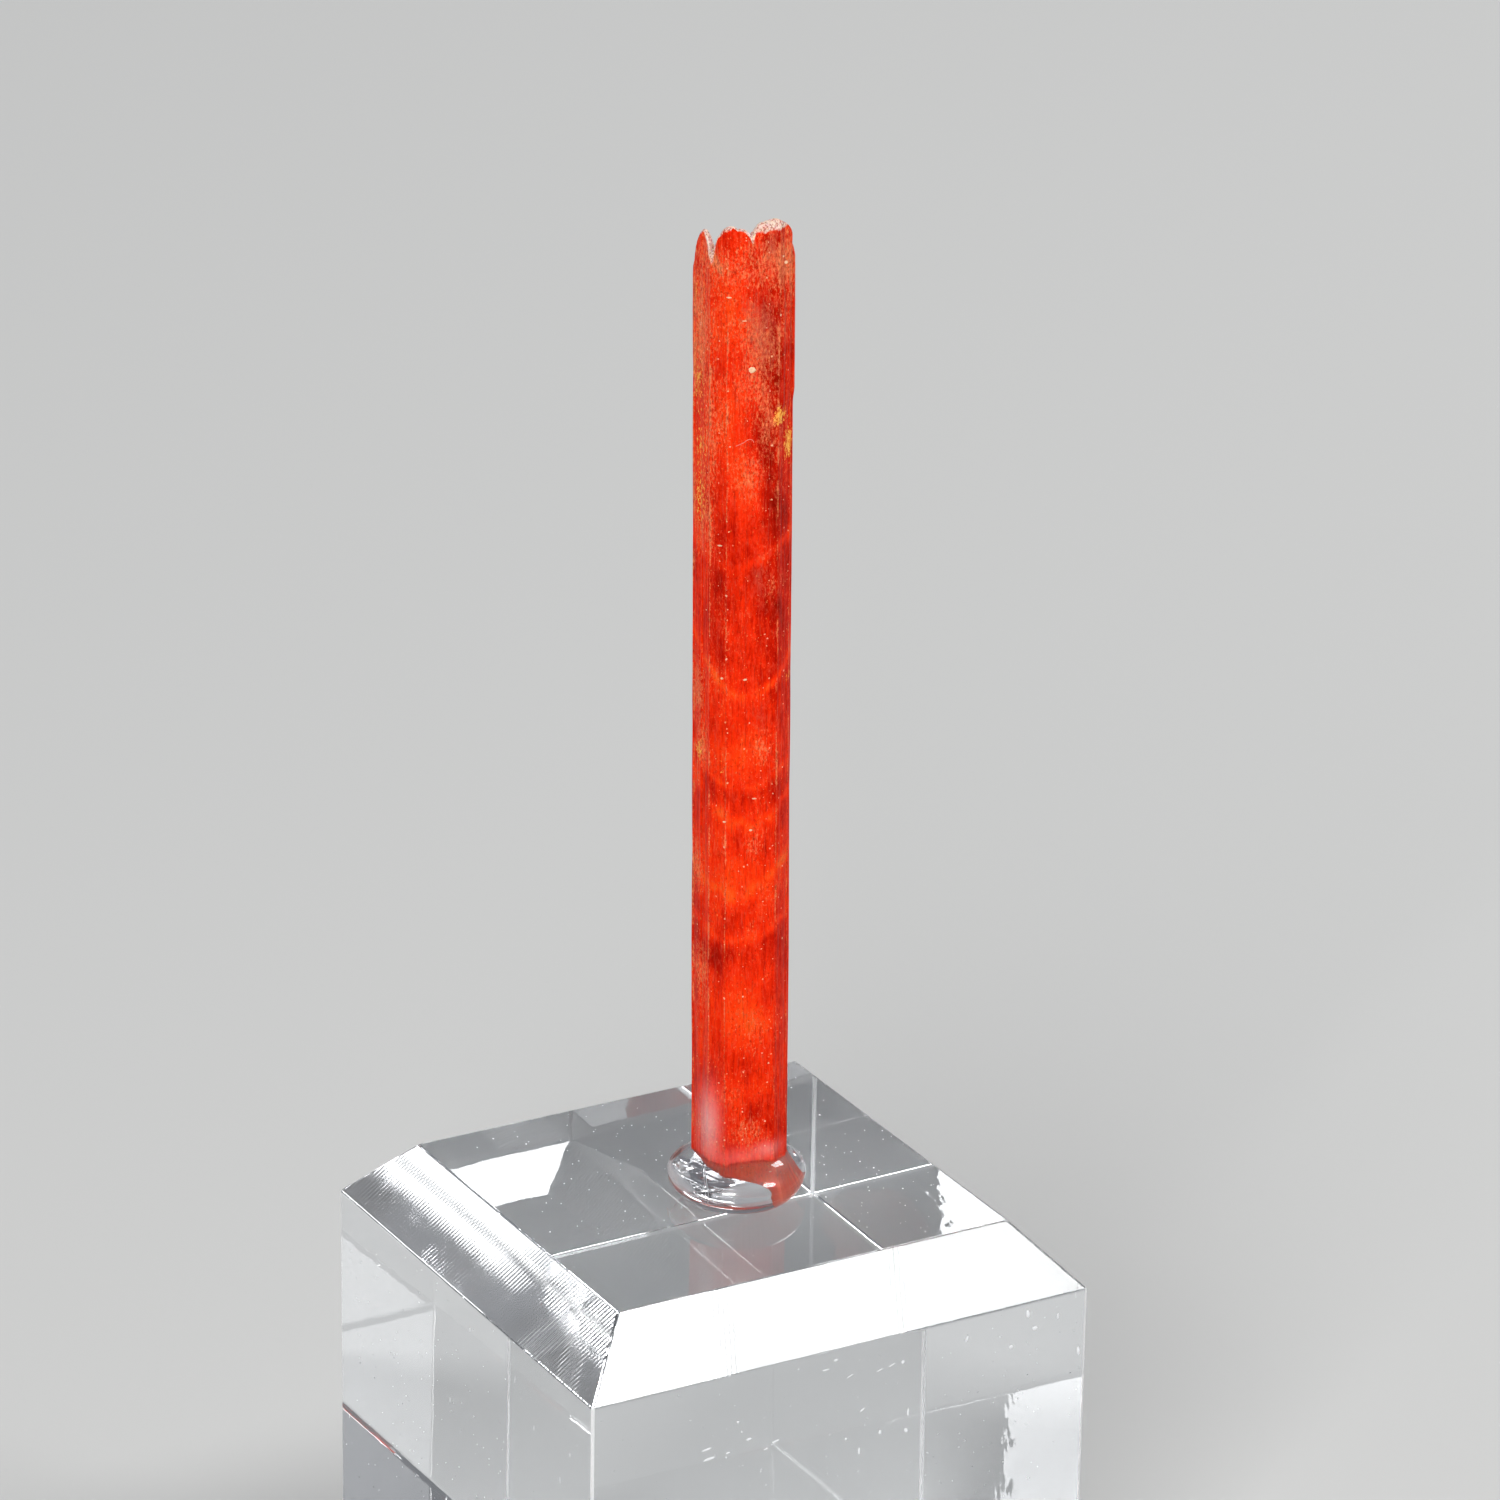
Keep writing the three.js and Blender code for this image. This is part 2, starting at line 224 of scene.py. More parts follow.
# the crystal's own frame: across to the right, back away from the front, up along it
crystal = dict(
    turn=-29.72, lean=-0.62,  # degrees, as the solid
    footAcross=0.09, footBack=0.27,  # its axis from the bead's centre
    footMiddle=1.0, footSlant=0.42,  # its slanting broken foot: level above the block, fall per unit across
    # bearing of each prism face's normal in degrees and its distance from the axis;
    # the far side is the same set turned round
    faces=[(180, 2.13), (208, 1.97), (232, 2.07), (287, 1.81), (328, 2.1)],
    # crown tips: across, back, drop below the top, fall sideways, fall to front and back
    lobes=[
        (-1.67, -0.8, 0.62, 4.2, 1.1), (-0.55, -1.8, 0.14, 1.8, 0.9), (-0.1, -1.66, 0.3, 1.5, 1.0),
        (0.82, -1.32, 0.09, 2.1, 1.7), (1.36, -1.08, 0, 0.6, 1.5), (-1.3, 0.45, 2.05, 1.1, 0.5),
        (0.1, 0.35, 1.6, 1.4, 0.7), (1.35, 0.75, 1.95, 1.5, 0.9), (-1.05, 1.35, 2.75, 1.7, 1.2),
        (0.45, 1.75, 3.05, 1.2, 1.4), (1.85, 0.1, 1.25, 3.1, 1.1),
    ],
    crownSlope=0.62, crownShoulder=1.65, prismFront=2.1,
    chips=[(0.35, 0.07, 3), (0.14, 0.05, 5)],  # spacing, height, seed
    # growth layers: face number, middle along the face, width, from, to, how proud
    laths=[
        (0, 0, 0.5, 1, 44.6, 0.065), (1, -0.3, 0.62, 4.2, 31.5, 0.06), (3, -0.62, 0.5, 22.5, 44.2, 0.07),
        (3, 0.35, 0.66, 30.2, 43.1, 0.06), (3, 0.85, 0.4, 5.5, 24.6, 0.07), (4, 0.1, 0.6, 37.6, 43.9, 0.09),
        (5, 0, 0.5, 1, 38.7, 0.06), (5, 0, 0.56, 37.9, 45.3, 0.13), (6, 0.2, 0.7, 8.6, 27.3, 0.07),
        (7, -0.1, 0.44, 19.8, 41.5, 0.06), (8, -0.55, 0.72, 3.6, 35.8, 0.08),
        (8, 0.5, 0.55, 14.3, 42.2, 0.06), (9, 0, 0.5, 26.1, 42.9, 0.07),
    ],
    lathSide=0.03, lathEnd=0.8,
    # pits: across, back, height, half-size across and along
    pits=[
        (-1.36, -1.72, 45.2, 0.3, 0.7), (0.55, -1.86, 40.3, 0.16, 0.22), (1.2, -1.66, 44.4, 0.17, 0.3),
        (2.33, -0.35, 42.5, 0.18, 0.6), (2.25, 0.55, 30.4, 0.16, 0.5), (-2.33, 0.2, 25.7, 0.16, 0.45),
        (-0.7, 2.0, 33.4, 0.2, 0.8), (0.9, 2.12, 17.2, 0.18, 0.4),
    ],
    pitDepth=0.6,  # share of its half-size
    # growth grooves, and the crust's relief: spacing, length, depth or height, seed
    grooves=[(0.34, 11, 0.034, 11), (0.19, 6, 0.022, 12), (0.09, 3, 0.011, 13)],
    crustGrain=[(0.22, 0.5, 0.035, 21), (0.1, 0.2, 0.02, 22)],
    # a painted highlight along each prism edge, laid into the crust: width, strength, length of its breaks,
    # the chance numbers between which it breaks off, their seed, and the heights between which it grows
    edgeHighlightWidth=0.07, edgeHighlightStrength=0.85, edgeBreak=0.9, edgeGaps=(0.35, 0.75), edgeSeed=5, edgeHighlightHeights=(-30, 20),
    around=352, wallRows=215, crownRows=32, capRows=24, crownFrom=41.5,
)


def prismOutline():
    # each face is a straight line at its distance from the axis; a corner is where it meets the next
    bearing, reach = np.array(crystal["faces"] + [(b + 180, r) for b, r in crystal["faces"]]).T
    bearing = np.radians(bearing)
    normal = np.stack([np.cos(bearing), np.sin(bearing)], -1)
    nextNormal, nextReach = np.roll(normal, -1, 0), np.roll(reach, -1)
    span = normal[:, 0] * nextNormal[:, 1] - normal[:, 1] * nextNormal[:, 0]
    x = (reach * nextNormal[:, 1] - nextReach * normal[:, 1]) / span
    y = (nextReach * normal[:, 0] - reach * nextNormal[:, 0]) / span
    corner = np.stack([x, y], -1)
    start = np.roll(corner, 1, 0)
    side = corner - start
    sideEnd = np.cumsum(np.linalg.norm(side, axis=1))
    walk = np.arange(crystal["around"]) / crystal["around"] * sideEnd[-1]
    face = np.searchsorted(sideEnd, walk, side="right")
    share = 1 - (sideEnd[face] - walk) / np.linalg.norm(side, axis=1)[face]
    outline = start[face] + side[face] * share[:, None]
    along = np.stack([-normal[:, 1], normal[:, 0]], -1)
    offset = np.einsum("ij,ij->i", outline, along[face])
    toEdge = np.minimum(sideEnd[face] - walk, walk - (sideEnd - np.linalg.norm(side, axis=1))[face])
    return outline, normal[face], face, offset, walk / sideEnd[-1], sideEnd[-1], toEdge


def crownHeight(x, y, top):
    # the highest of the sloping stump and the rounded tips, each tip a paraboloid, with small chips
    height = top - crystal["crownShoulder"] - crystal["crownSlope"] * (y + crystal["prismFront"])
    for across, back, drop, fallX, fallY in crystal["lobes"]:
        height = np.maximum(height, top - drop - fallX * (x - across) ** 2 - fallY * (y - back) ** 2)
    for spacing, rise, seed in crystal["chips"]:
        height = height + rise * (valueNoise(x / spacing, y / spacing, seed) - 0.5)
    return height


def crystalSurface(top):
    # walks round the prism's outline and up it; each face is cut by growth grooves and pits, raised by
    # growth layers and crust, and the broken end closes it towards the axis
    outline, outward, face, offset, turnShare, girth, toEdge = prismOutline()
    crown = crownHeight(outline[:, 0], outline[:, 1], top)
    wallShare = np.linspace(0, 1, crystal["wallRows"])[:, None]
    crownShare = np.linspace(0, 1, crystal["crownRows"] + 1)[1:, None]
    footLevel = crystal["footMiddle"] - crystal["footSlant"] * outline[:, 0]
    wall = footLevel + (crystal["crownFrom"] - footLevel) * wallShare
    z = np.concatenate([wall, crystal["crownFrom"] + (crown - crystal["crownFrom"]) * crownShare])
    push = np.zeros_like(z)
    for spacing, length, depth, seed in crystal["grooves"]:
        strips = round(girth / spacing)
        ridge = 1 - np.abs(2 * valueNoise(turnShare * strips, z / length, seed, strips) - 1)
        push -= depth * ridge ** 2
    for number, middle, width, low, high, proud in crystal["laths"]:
        half, soft, run = width / 2, crystal["lathSide"], crystal["lathEnd"]
        side = smoothStep(half + soft, half - soft, np.abs(offset - middle))
        ends = smoothStep(low, low + run, z) * smoothStep(high, high - run, z)
        push += (face == number) * side * ends * proud
    x = np.broadcast_to(outline[:, 0], z.shape)
    y = np.broadcast_to(outline[:, 1], z.shape)
    # the crust is the same whatever the rim's level, so any level serves here
    crust = surfaceFields(x, y, z, z, top)["crust"]
    for spacing, length, height, seed in crystal["crustGrain"]:
        strips = round(girth / spacing)
        push += crust * height * (valueNoise(turnShare * strips, z / length, seed, strips) - 0.5)
    x = x + outward[:, 0] * push
    y = y + outward[:, 1] * push
    for pitX, pitY, pitZ, wide, tall in crystal["pits"]:
        spread = ((x - pitX) ** 2 + (y - pitY) ** 2) / wide ** 2 + ((z - pitZ) / tall) ** 2
        dent = crystal["pitDepth"] * wide * np.clip(1 - spread, 0, 1)
        x = x - outward[:, 0] * dent
        y = y - outward[:, 1] * dent
    inward = np.linspace(1, 0, crystal["capRows"] + 1)[1:-1, None]
    capX, capY = x[-1] * inward, y[-1] * inward
    capZ = crownHeight(capX, capY, top)
    centreZ = crownHeight(np.zeros(1), np.zeros(1), top)
    rim = np.append(np.concatenate([np.broadcast_to(crown, z.shape), capZ]), [*centreZ, top])
    x = np.append(np.concatenate([x, capX]), [0, 0])
    y = np.append(np.concatenate([y, capY]), [0, 0])
    z = np.append(np.concatenate([z, capZ]), [*centreZ, crystal["footMiddle"]])
    around = crystal["around"]
    sideRows = crystal["wallRows"] + crystal["crownRows"]
    faces = closedFaces(sideRows + crystal["capRows"] - 1, around)
    fields = surfaceFields(x, y, z, rim, top)
    # a painted highlight along each prism edge: a thin line of pale crust that breaks off in gaps and grows
    # with height
    edgeHighlightReach = np.exp(-(toEdge / crystal["edgeHighlightWidth"]) ** 2)
    sides = slice(sideRows * around)
    paintedEdgeHighlight = crystal["edgeHighlightStrength"] * smoothStep(*crystal["edgeHighlightHeights"], z[sides])
    breaks = valueNoise(np.tile(face, sideRows), z[sides] / crystal["edgeBreak"], crystal["edgeSeed"])
    paintedEdgeHighlight *= smoothStep(*crystal["edgeGaps"], breaks)
    fields["crust"][sides] += paintedEdgeHighlight * np.tile(edgeHighlightReach, sideRows)
    return np.stack([x, y, z], -1), faces, fields


# what lies on the crystal's front: across, height, half-width, half-height, strength
marks = dict(
    glow=[
        (-0.4, 42.5, 0.9, 3.2, 0.2), (1.3, 41.0, 0.7, 3.8, -0.34), (-0.5, 37.2, 1.0, 2.4, 0.18),
        (1.5, 34.2, 0.7, 1.9, -0.34), (0.2, 34.6, 0.5, 1.8, 0.12), (-0.95, 29.6, 0.45, 1.9, -0.26),
        (-0.9, 26.6, 0.5, 1.1, -0.2), (1.6, 27.5, 0.5, 4.2, -0.2), (0.2, 22.2, 1.3, 1.0, 0.26),
        (-1.4, 20.1, 0.4, 0.9, -0.3), (1.6, 20.2, 0.5, 1.6, -0.22), (0.0, 16.3, 1.3, 0.9, 0.24),
        (-1.1, 12.2, 0.6, 0.8, -0.28), (1.8, 12.5, 0.4, 4.0, -0.16), (0.2, 9.4, 1.3, 1.5, 0.26),
        (-2.1, 13.0, 0.3, 6.5, -0.22), (0.2, 28.6, 1.6, 3.4, -0.1), (0.9, 37.0, 0.5, 1.6, -0.2),
        (1.3, 32.0, 0.5, 1.2, -0.16), (0.3, 20.2, 1.2, 0.6, -0.12), (0.3, 12.6, 1.2, 1.0, -0.1),
        (1.15, 10.0, 0.32, 0.5, -0.22), (0.6, 4.4, 0.4, 0.5, -0.15), (-1.2, 6.3, 0.35, 1.1, -0.14),
        (1.9, 31.0, 0.3, 2.4, -0.14), (-2.1, 30.4, 0.3, 1.6, -0.14), (1.2, 45.7, 0.5, 0.7, -0.28),
    ],
    crust=[
        (-1.85, 41.5, 0.45, 4.2, 0.5), (-1.3, 37.4, 0.5, 2.4, 0.32), (0.3, 44.6, 1.7, 1.0, 0.42),
        (0.55, 40.4, 0.9, 2.2, 0.48), (1.3, 37.2, 0.7, 1.2, 0.46), (-1.5, 33.4, 0.5, 2.2, 0.5),
        (0.3, 35.4, 0.8, 1.5, 0.36), (-1.85, 24.6, 0.28, 1.6, 0.7), (-1.7, 22.0, 0.25, 1.1, 0.62),
        (-1.95, 16.0, 0.3, 1.3, 0.5), (0.9, 22.3, 0.5, 0.8, 0.5), (0.7, 17.6, 0.5, 0.7, 0.45),
        (-1.7, 11.4, 0.3, 1.8, 0.55), (1.9, 44.4, 0.35, 1.8, 0.4), (0.5, 8.0, 0.6, 0.7, 0.25),
        (-1.5, 3.4, 0.5, 1.1, 0.55), (0.4, 3.6, 1.1, 0.8, 0.4), (1.2, 29.8, 0.5, 0.9, 0.4),
        (-1.38, 45.05, 0.13, 0.22, 1.0), (-1.2, 44.8, 0.13, 0.22, 1.0), (-1.0, 44.5, 0.12, 0.22, 0.9),
        (0.42, 45.8, 0.06, 0.35, 1.0),
    ],
    ochre=[
        (-1.9, 39.0, 0.26, 0.9, 0.3), (-1.75, 36.1, 0.26, 0.6, 0.32), (-1.85, 33.6, 0.28, 1.2, 0.3),
        (1.6, 37.7, 0.3, 0.42, 0.95), (2.0, 36.3, 0.22, 0.8, 0.85), (-1.85, 21.8, 0.16, 0.7, 0.62),
        (2.02, 25.3, 0.14, 0.3, 0.6), (-0.85, 21.4, 0.1, 0.5, 0.5), (-2.0, 43.0, 0.12, 0.6, 0.45),
        (-1.88, 38.2, 0.3, 2.6, 0.27), (-1.8, 34.0, 0.3, 2.0, 0.27),
    ],
    dust=[
        (0.85, 41.6, 0.6, 1.4, 0.7), (0.3, 42.6, 0.4, 0.6, 0.45), (0.75, 30.3, 0.3, 1.0, 0.5),
        (0.85, 23.8, 0.28, 0.7, 0.42), (1.2, 45.0, 0.35, 0.6, 0.5), (1.27, 45.7, 0.2, 0.5, 0.6),
    ],
    # where the frost and painted rim highlight reach deeper: across, back, half-sizes, depth
    frostAndRimHighlight=[(-1.4, -1.3, 0.2, 0.6, 1.5), (0.42, -1.76, 0.1, 0.4, 0.5)],
    # a film of adhesive that crept up the faces, which gives the coat, with a painted pale pink sheen and
    # painted reflections on the faces near the foot
    filmAndSheen=[(-1.35, 3.9, 0.42, 1.5, 1.0), (1.3, 2.7, 0.5, 0.3, 0.5), (0.2, 2.4, 1.6, 0.45, 0.3)],
    # the adhesive wets the crystal below here: no crust, a body painted brighter as a painted glow, a share
    # of the film gone, and a painted pale sheen all over
    wetFoot=(2.05, 1.85), wetPaintedGlow=0.4, wetClear=0.6, wetPaintedSheen=0.3,
    # curved bright bands: lowest height, rise per square and per unit across, half-thickness, strength
    bands=[
        (24.8, 0.46, -0.24, 0.24, 0.7), (18.7, 0.36, -0.23, 0.42, 0.6), (15.3, 0.28, 0.19, 0.38, 0.6),
        (20.4, 0.3, -0.1, 0.22, 0.4), (13.1, 0.2, 0.05, 0.26, 0.34), (30.9, 0.22, 0.12, 0.3, 0.26),
    ],
    bandBreak=0.45,  # size of the patches that break the bands up
    # seeded patches for the sides and back: field, count, range of half-widths, of half-heights, of strengths
    scattered=[
        ("glow", 22, (0.3, 1.0), (0.6, 3.2), (-0.36, 0.3)), ("crust", 14, (0.3, 0.8), (0.8, 3.0), (0.3, 0.8)),
        ("ochre", 6, (0.12, 0.3), (0.3, 1.1), (0.5, 0.95)), ("dust", 4, (0.2, 0.6), (0.5, 1.4), (0.3, 0.6)),
    ],
    seed=29, scatterAcross=(-2, 2), scatterFrom=2,  # their places across, and their lowest height
    turnOver=0.45,  # depth over which front marks give way to the seeded ones
    plainGlow=0.53,  # how bright the body is
    # frost with a painted rim highlight, a pale band under the crown's skyline on the front: its depth below
    # the skyline, its growth on the right-hand tip and where that starts and ends, the share of its depth
    # over which it is full, and how far back it goes
    rimFrostAndHighlight=0.09, tipFrostAndHighlight=5.5, tipFrom=(0.3, 0.8), tipTo=(2.0, 1.6), frostAndHighlightFull=0.3, frostAndHighlightBack=0.6,
    skylineAcross=(-2.6, 2.6, 240), skylineBack=(-2.1, 0.5, 60),  # from, to and steps of the skyline
    breakFrost=0.45, breakFrom=(-1.4, -0.6), breakDepth=1e-6,  # frost on the broken end, and where it starts
    wornTop=(32, 42, 0.16),  # the crust thickens between these heights, by this much
)


def surfaceFields(x, y, z, rim, top):
    # each field is the sum of its patches on the side that faces the point, front and back blended
    shape = x.shape
    x, y, z, rim = (np.broadcast_to(k, shape).ravel() for k in (x, y, z, rim))
    front = smoothStep(marks["turnOver"], -marks["turnOver"], y)
    dice = np.random.default_rng(marks["seed"])
    fields = {}
    for name, count, wide, tall, strong in marks["scattered"]:
        spots = np.stack([
            dice.uniform(*marks["scatterAcross"], count), dice.uniform(marks["scatterFrom"], top, count),
            dice.uniform(*wide, count), dice.uniform(*tall, count), dice.uniform(*strong, count),
        ], -1)
        fields[name] = front * softMarks(marks[name], x, z) + (1 - front) * softMarks(spots, x, z)
    for low, curve, tilt, thick, strength in marks["bands"]:
        middle = low + curve * x ** 2 + tilt * x
        broken = valueNoise(x / marks["bandBreak"], z / marks["bandBreak"], marks["seed"])
        fields["glow"] += strength * broken * np.exp(-((z - middle) / thick) ** 2)
    fields["glow"] += marks["plainGlow"]
    # the adhesive film: the coat's weight, and a painted sheen and painted reflections
    fields["filmAndSheen"] = softMarks(marks["filmAndSheen"], x, z)
    low, high, share = marks["wornTop"]
    fields["crust"] += share * smoothStep(low, high, z)
    wet = smoothStep(*marks["wetFoot"], z)
    fields["crust"] *= 1 - wet
    # a painted glow: the body is painted brighter where the adhesive wets it
    fields["glow"] += marks["wetPaintedGlow"] * wet
    fields["filmAndSheen"] *= 1 - marks["wetClear"] * wet
    # a painted pale sheen over the wet foot
    fields["filmAndSheen"] += marks["wetPaintedSheen"] * wet
    # frost and a painted rim highlight: a pale band measured down from the crown's own skyline, deepest on
    # the right-hand tip and the left notch
    across = np.linspace(*marks["skylineAcross"])
    back = np.linspace(*marks["skylineBack"])[:, None]
    skyline = np.interp(x, across, crownHeight(across + 0 * back, back + 0 * across, top).max(0))
    onTip = smoothStep(*marks["tipFrom"], x) * smoothStep(*marks["tipTo"], x)
    deep = marks["rimFrostAndHighlight"] * (1 + marks["tipFrostAndHighlight"] * onTip) + softMarks(marks["frostAndRimHighlight"], x, y)
    frostAndRimHighlightBand = smoothStep(deep, marks["frostAndHighlightFull"] * deep, skyline - z) * (y < marks["frostAndHighlightBack"])
    broken = (rim - z < marks["breakDepth"]) * smoothStep(*marks["breakFrom"], y)
    fields["frostAndRimHighlight"] = frostAndRimHighlightBand + marks["breakFrost"] * broken
    return {name: np.clip(field, 0, 1).reshape(shape) for name, field in fields.items()}


def placeOnBlock(own):
    # lean as a sideways shift that grows with height, then the turn about the bead's centre; in metres
    turn = math.radians(crystal["turn"])
    x = own[:, 0] + math.tan(math.radians(crystal["lean"])) * own[:, 2] + crystal["footAcross"]
    y = own[:, 1] + crystal["footBack"]
    return np.stack([
        beadCentre.x + mm * (x * math.cos(turn) - y * math.sin(turn)),
        beadCentre.y + mm * (x * math.sin(turn) + y * math.cos(turn)),
        blockHigh.z + mm * own[:, 2],
    ], -1)


crocoite = dict(
    body=[(0.0, "#7A0802"), (0.3, "#C41604"), (0.55, "#F02C08"), (0.8, "#FF400E"), (1.0, "#FF581A")],
    # patterns: size across, squeeze along the crystal, detail, roughness, distortion, shift
    patterns=dict(
        streak=(0.2, 0.13333, 3, 0.6, 0, (0, 0, 0)),
        hair=(0.06, 0.08, 1.5, 0.5, 0, (0, 0, 0)),
        darkHair=(0.06 / 0.7, 0.08, 1.5, 0.5, 0, (31, 17, 5)),
        cloud=(1.5, 0.55, 4, 0.6, 0, (0, 0, 0)),
        grain=(0.17, 0.55, 5, 0.72, 0.6, (0, 0, 0)),
        flecks=(0.1, 0.55, 3.5, 0.75, 0, (0, 0, 0)),
    ),
    # shares of the patterns that are added to the glow, and what is then taken off; the same for the crust
    bodyShares=dict(cloud=0.9, streak=0.5, grain=0.6), bodyLevel=0.99, crustCloud=1.2, crustLevel=0.6,
    wornGain=0.6, wornLeast=0.2,
    speckSpacing=0.28, speckSize=0.06, speckShake=0.16, speckRarity=2.5,
    # layers over the body, lowest first: pattern, what is added to it and how much of that, the sums
    # between which the layer comes in, its greatest share, its colour; where there are two colours,
    # the second flecks choose between them over the last two values
    layers=dict(
        darkLine=("darkHair", None, 0, 0.42, 0.28, 0.34, "#8A0C04"),
        scratch=("hair", None, 0, 0.62, 0.76, "worn", "#FF8A62"),
        crust=("grain", "crusted", 0.42, 0.71, 0.90, 0.38, "#EC7450"),
        fleck=("fleck", "crusted", 0.3, 0.60, 0.82, 0.8, "#FA925E"),
        pit=("fleckTwo", "crusted", -0.12, 0.43, 0.26, 0.7, "#9A1406"),
        dust=("grain", "dust", 0.36, 0.52, 0.92, 0.62, "#B0604A"),
        ochre=("fleck", "ochre", 0.36, 0.68, 0.76, 1.0, "#E88A30", "#FFC25C", 0.4, 0.56),
        # frost on the breaks and a painted highlight along the crown's rim, brownish to pale cream
        frostAndRimHighlight=("grain", "frostAndRimHighlight", 0.64, 0.78, 1.02, 0.9, "#B87A6A", "#F6E4D4", 0.42, 0.54),
        speck=("away", None, 0, 1.2, 0.8, 0.8, "#FFC8A0"),
        # a painted pale pink sheen and painted reflections where the film lies
        filmAndSheen=("filmAndSheen", None, 0, 0, 1, 0.6, "#FFB4B0"),
    ),
    gloss=0.3, crustGloss=0.6, index=2.3, shine=0.008, specular="#FFB070", filmGloss=0.08,
    glowWeight=0.6, glowDepth=0.15, glowSpread=(1.0, 0.25, 0.10),
    relief=0.012, grainRelief=0.5,
)


def crocoiteMaterial():
    # crocoite, natural growth faces: lead chromate, adamantine and translucent, so light spreads in its
    # depth; fine growth lines, a worn dusty crust with ochre spots and frosted breaks lie over it, with a
    # painted highlight along the crown's rim and the prism edges and a painted sheen near the foot
    material, tree = newMaterial("crocoite_natural_growth_faces")
    look = crocoite
    place = addNode(tree, "Attribute", attribute_name="ownPlace").outputs["Vector"]
    pattern = {
        name: addNode(tree, "Attribute", attribute_name=name).outputs["Fac"]
        for name in ("glow", "crust", "ochre", "dust", "frostAndRimHighlight", "filmAndSheen")
    }
    for name, (size, squeeze, detail, rough, distortion, shift) in look["patterns"].items():
        laid = addNode(tree, "Mapping", {"Vector": place, "Location": shift, "Scale": (1, 1, squeeze)})
        pattern[name] = addNode(tree, "TexNoise", {
            "Vector": laid, "Scale": 1 / size, "Detail": detail, "Roughness": rough,
            "Distortion": distortion})
    hair, streak, grain, cloud = (pattern[name] for name in ("hair", "streak", "grain", "cloud"))
    flecks = addNode(tree, "SeparateColor", {"Color": pattern["flecks"].outputs["Color"]})
    pattern["fleck"], pattern["fleckTwo"] = flecks.outputs["Red"], flecks.outputs["Blue"]

    # the body: patch, cloud, streak and grain are added up, and the sum runs along the colours
    amount = pattern["glow"]
    for name, share in look["bodyShares"].items():
        amount = addNode(tree, "Math", {0: pattern[name], 1: share, 2: amount}, operation="MULTIPLY_ADD")
    glow = addNode(tree, "Math", {0: amount, 1: look["bodyLevel"]}, operation="SUBTRACT")
    colour = addNode(tree, "ValToRGB", {"Fac": glow})
    steps = colour.color_ramp.elements
    steps.remove(steps[1])
    steps[0].color = toLinear(look["body"][0][1])
    for position, tone in look["body"][1:]:
        steps.new(position).color = toLinear(tone)

    # the crust lies in patches, thick where the cloud is bright; its field also carries the painted highlight
    # along the prism edges
    patchy = addNode(tree, "Math", {
        0: cloud, 1: look["crustCloud"], 2: pattern["crust"]}, operation="MULTIPLY_ADD")
    crusted = addNode(tree, "Math", {0: patchy, 1: look["crustLevel"]}, operation="SUBTRACT")
    pattern["crusted"] = crusted
    # the growth lines are scratched the more, the more the face is worn
    pattern["worn"] = addNode(tree, "Math", {
        0: crusted, 1: look["wornGain"], 2: look["wornLeast"]}, operation="MULTIPLY_ADD")
    # a speck in each cell of the scatter, its size from a power of the cell's own chance number
    shaken = addNode(tree, "VectorMath", {
        0: grain.outputs["Color"], 1: [look["speckShake"]] * 3, 2: place}, operation="MULTIPLY_ADD")
    cells = addNode(tree, "TexVoronoi", {"Vector": shaken, "Scale": 1 / look["speckSpacing"]})
    chance = addNode(tree, "Math", {0: cells.outputs["Color"], 1: look["speckRarity"]}, operation="POWER")
    reach = addNode(tree, "Math", {
        0: chance, 1: look["speckSize"] / look["speckSpacing"]}, operation="MULTIPLY")
    pattern["away"] = addNode(tree, "Math", {0: cells, 1: reach}, operation="DIVIDE")

    shares = {}
    for name, (base, added, weight, low, high, most, *tones) in look["layers"].items():
        amount = pattern[base]
        if added:
            amount = addNode(tree, "Math", {
                0: pattern[added], 1: weight, 2: amount}, operation="MULTIPLY_ADD")
        shares[name] = addNode(tree, "MapRange", {
            "Value": amount, "From Min": low, "From Max": high, "To Max": pattern.get(most, most)})
        tone = toLinear(tones[0])
        if len(tones) > 1:
            split = addNode(tree, "MapRange", {
                "Value": pattern["fleckTwo"], "From Min": tones[2], "From Max": tones[3]})
            tone = addNode(tree, "Mix", {
                "Factor": split, "A": tone, "B": toLinear(tones[1])}, data_type="RGBA")
        colour = addNode(tree, "Mix", {"Factor": shares[name], "A": colour, "B": tone}, data_type="RGBA")

    matte = addNode(tree, "Math", {0: shares["crust"], 1: shares["frostAndRimHighlight"]}, operation="MAXIMUM")
    roughness = addNode(tree, "MapRange", {
        "Value": matte, "To Min": look["gloss"], "To Max": look["crustGloss"]})
    # the relief: hair and streak lines, and the grain, stronger on crust, frost and the painted rim highlight
    height = addNode(tree, "Math", {0: hair, 1: streak}, operation="ADD")
    height = addNode(tree, "Math", {0: matte, 1: grain, 2: height}, operation="MULTIPLY_ADD")
    height = addNode(tree, "Math", {0: grain, 1: look["grainRelief"], 2: height}, operation="MULTIPLY_ADD")
    bump = addNode(tree, "Bump", {"Height": height, "Distance": look["relief"] * mm})
    surface = addNode(tree, "BsdfPrincipled", {
        "Base Color": colour,
        "Roughness": roughness,
        "IOR": look["index"],
        "Specular IOR Level": look["shine"],
        "Specular Tint": toLinear(look["specular"]),
        "Normal": bump,
        "Subsurface Weight": look["glowWeight"],
        "Subsurface Radius": look["glowSpread"],
        "Subsurface Scale": look["glowDepth"] * mm,
        "Coat Weight": pattern["filmAndSheen"],
        "Coat Roughness": look["filmGloss"],
    })
    addNode(tree, "OutputMaterial", {"Surface": surface})
    return material


dryDust = dict(mottleSize=0.1, roughness=0.9)


